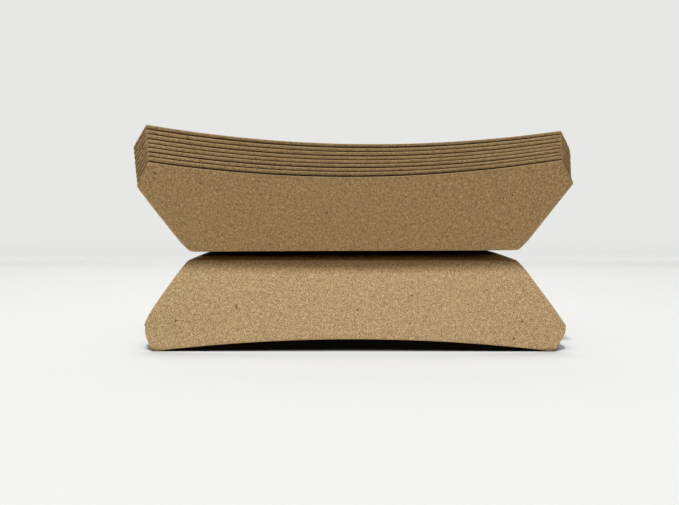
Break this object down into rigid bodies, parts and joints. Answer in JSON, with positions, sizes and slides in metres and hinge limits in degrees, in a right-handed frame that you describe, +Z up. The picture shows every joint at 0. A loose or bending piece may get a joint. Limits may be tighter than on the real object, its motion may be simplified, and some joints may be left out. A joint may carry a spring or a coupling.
{
  "type": "stack of cardboard trays",
  "caption": "Stack of folded kraft paperboard food trays: upright trays nested in a pile, standing on the bottom of one upturned tray.",
  "frame": {"origin": "on the table, under the middle of the stack's bounding box", "axes": "+X along the trays' length, -Y towards the front, +Z up"},
  "size_m": [0.196, 0.1212, 0.0997],
  "materials": {
    "kraft_board": "matte"
  },
  "bodies": {
    "root": {"base_tray": "kraft_board", "nest_tray_1": "kraft_board", "nest_tray_2": "kraft_board", "nest_tray_3": "kraft_board", "nest_tray_4": "kraft_board", "nest_tray_5": "kraft_board", "nest_tray_6": "kraft_board", "nest_tray_7": "kraft_board", "nest_tray_8": "kraft_board", "nest_tray_9": "kraft_board"}
  },
  "joints": []
}
